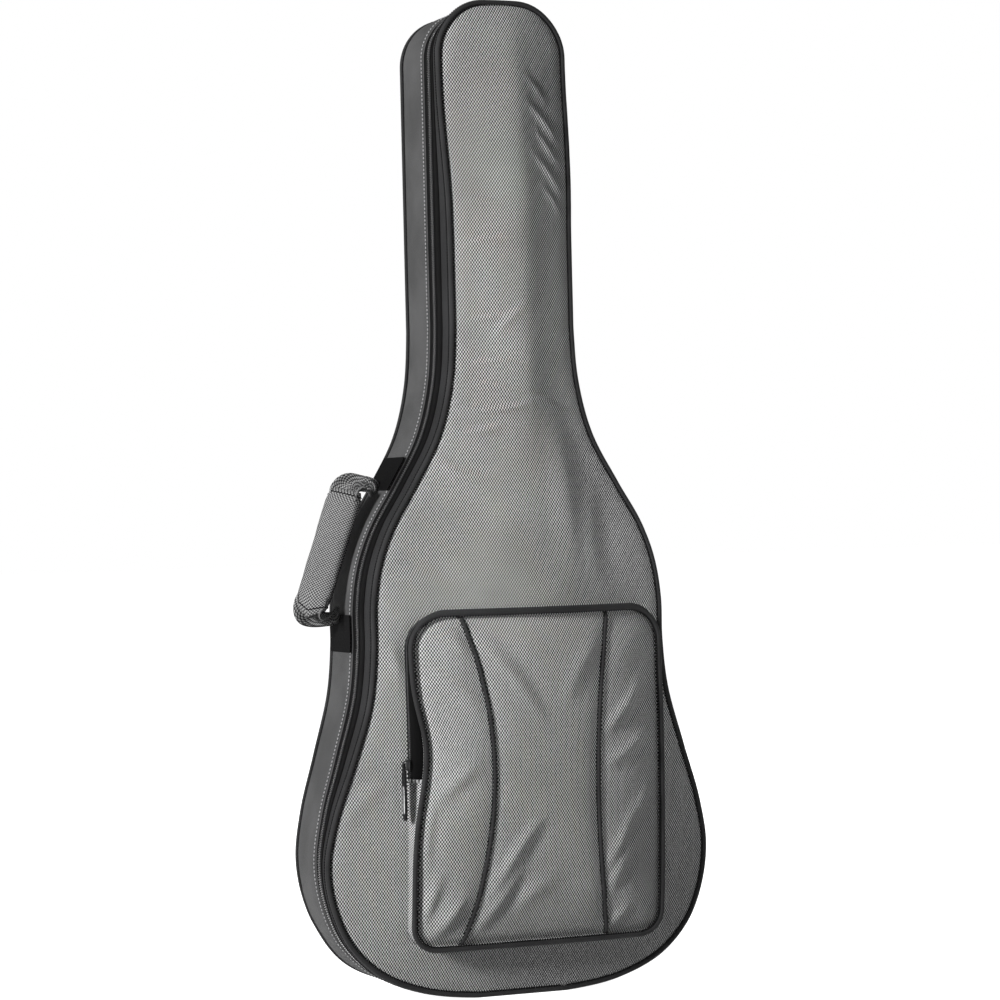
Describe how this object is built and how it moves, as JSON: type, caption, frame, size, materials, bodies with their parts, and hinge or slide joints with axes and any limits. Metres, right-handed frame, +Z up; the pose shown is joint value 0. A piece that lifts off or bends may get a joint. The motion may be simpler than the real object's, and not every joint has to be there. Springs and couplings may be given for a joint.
{
  "type": "guitar gig bag",
  "caption": "Padded gig bag for a full-size guitar: zipped lid with a zipped front pocket, corded seams, side carry handle and backpack straps.",
  "frame": {"origin": "middle of the flat base, at mid-depth", "axes": "+Z up towards the head, -Y towards the front with the pocket, +X to the right as seen from the front, so the carry handle is at -X"},
  "size_m": [0.443, 0.2104, 1.06],
  "materials": {
    "two_tone_weave": "light grey and black two-tone dot weave",
    "side_nylon": "mid grey plain-weave nylon",
    "trim_nylon": "dark grey nylon",
    "lining": "dark brushed lining",
    "piping": "charcoal corded piping",
    "zip_tape": "black woven zip tape",
    "zip_coil": "black nylon coil",
    "webbing": "black webbing",
    "slider_metal": "black enamelled zinc",
    "foam": "brushed fabric over dense foam",
    "guard_vinyl": "black grained vinyl",
    "buckle_plastic": "black moulded acetal"
  },
  "bodies": {
    "shell": {"back_panel": "side_nylon", "back_lining": "lining", "rear_piping": "piping", "side_gusset": "side_nylon", "gusset_lining": "lining", "zip_tape_rear": "zip_tape", "zip_chain_rear": "zip_coil", "hinge_gusset_rear": "side_nylon", "zip_end_tab_upper": "webbing", "zip_end_tab_lower": "webbing", "neck_rest": "foam", "neck_strap_loop": "webbing", "tail_pad": "foam", "handle_patch_lower": "webbing", "handle_patch_upper": "webbing", "strap_yoke": "webbing", "strap_pad_left": "side_nylon", "strap_pad_right": "side_nylon", "strap_webbing_left": "webbing", "strap_webbing_right": "webbing", "strap_anchor_left": "side_nylon", "strap_anchor_right": "side_nylon", "hang_loop": "webbing"},
    "lid": {"lid_gusset": "trim_nylon", "front_panel": "two_tone_weave", "front_lining": "lining", "front_piping": "piping", "bridge_guard": "guard_vinyl", "zip_tape_front": "zip_tape", "zip_chain_front": "zip_coil", "hinge_gusset_front": "side_nylon", "pocket_zip_tape": "zip_tape", "pocket_chain_inner": "zip_coil"},
    "pocket_flap": {"pocket_panel": "two_tone_weave", "pocket_piping": "piping", "pocket_chain_outer": "zip_coil", "style_piping_left": "piping", "style_piping_right": "piping"},
    "upper_slider": {"zip_slider_upper": "slider_metal"},
    "upper_pull": {"zip_pull_upper": "slider_metal"},
    "lower_slider": {"zip_slider_lower": "slider_metal"},
    "lower_pull": {"zip_pull_lower": "slider_metal"},
    "pocket_slider": {"pocket_slider": "slider_metal"},
    "pocket_pull": {"pocket_pull": "webbing"},
    "handle": {"handle_strap": "two_tone_weave", "handle_grip": "two_tone_weave"},
    "neck_strap": {"neck_strap_hook": "webbing"},
    "adjuster_left": {"strap_adjuster_left": "buckle_plastic"},
    "adjuster_right": {"strap_adjuster_right": "buckle_plastic"}
  },
  "joints": [
    {"name": "lid_hinge", "type": "hinge", "parent": "shell", "child": "lid", "pos_m": [0.224, -0.031, 0.155], "axis": [0, 0, 1], "range_deg": [0, 150]},
    {"name": "pocket_hinge", "type": "hinge", "parent": "lid", "child": "pocket_flap", "pos_m": [0.14367, -0.06759, 0.06228], "axis": [0.7757, 0, 0.6311], "range_deg": [0, 12]},
    {"name": "upper_slider_run", "type": "hinge", "parent": "shell", "child": "upper_slider", "pos_m": [0.0165, -0.02, 1.005], "axis": [0, -1, 0], "range_deg": [0, 90]},
    {"name": "upper_pull_hinge", "type": "hinge", "parent": "upper_slider", "child": "upper_pull", "pos_m": [0.0773, -0.02, 1.005], "axis": [0, -1, 0], "range_deg": [0, 150]},
    {"name": "lower_slider_run", "type": "slide", "parent": "shell", "child": "lower_slider", "axis": [0, 0, -1], "range_m": [0, 0.235]},
    {"name": "lower_pull_hinge", "type": "hinge", "parent": "lower_slider", "child": "lower_pull", "pos_m": [0.0773, -0.02, 0.975], "axis": [0, -1, 0], "range_deg": [0, 100]},
    {"name": "pocket_slider_run", "type": "slide", "parent": "lid", "child": "pocket_slider", "axis": [0, 0.0228, 0.9997], "range_m": [0, 0.11]},
    {"name": "pocket_pull_hinge", "type": "hinge", "parent": "pocket_slider", "child": "pocket_pull", "pos_m": [-0.1433, -0.09117, 0.254], "axis": [0, 1, 0], "range_deg": [0, 150]},
    {"name": "handle_swing", "type": "hinge", "parent": "shell", "child": "handle", "pos_m": [-0.17, 0.022, 0.412], "axis": [0.3284, 0, 0.9445], "range_deg": [-40, 12]},
    {"name": "neck_strap_hinge", "type": "hinge", "parent": "shell", "child": "neck_strap", "pos_m": [0.05, 0.0084, 0.7], "axis": [0, 0, 1], "range_deg": [0, 90]},
    {"name": "adjuster_left_run", "type": "slide", "parent": "shell", "child": "adjuster_left", "axis": [-0.2822, 0, -0.9594], "range_m": [0, 0.045]},
    {"name": "adjuster_right_run", "type": "slide", "parent": "shell", "child": "adjuster_right", "axis": [0.2822, 0, -0.9594], "range_m": [0, 0.045]}
  ]
}
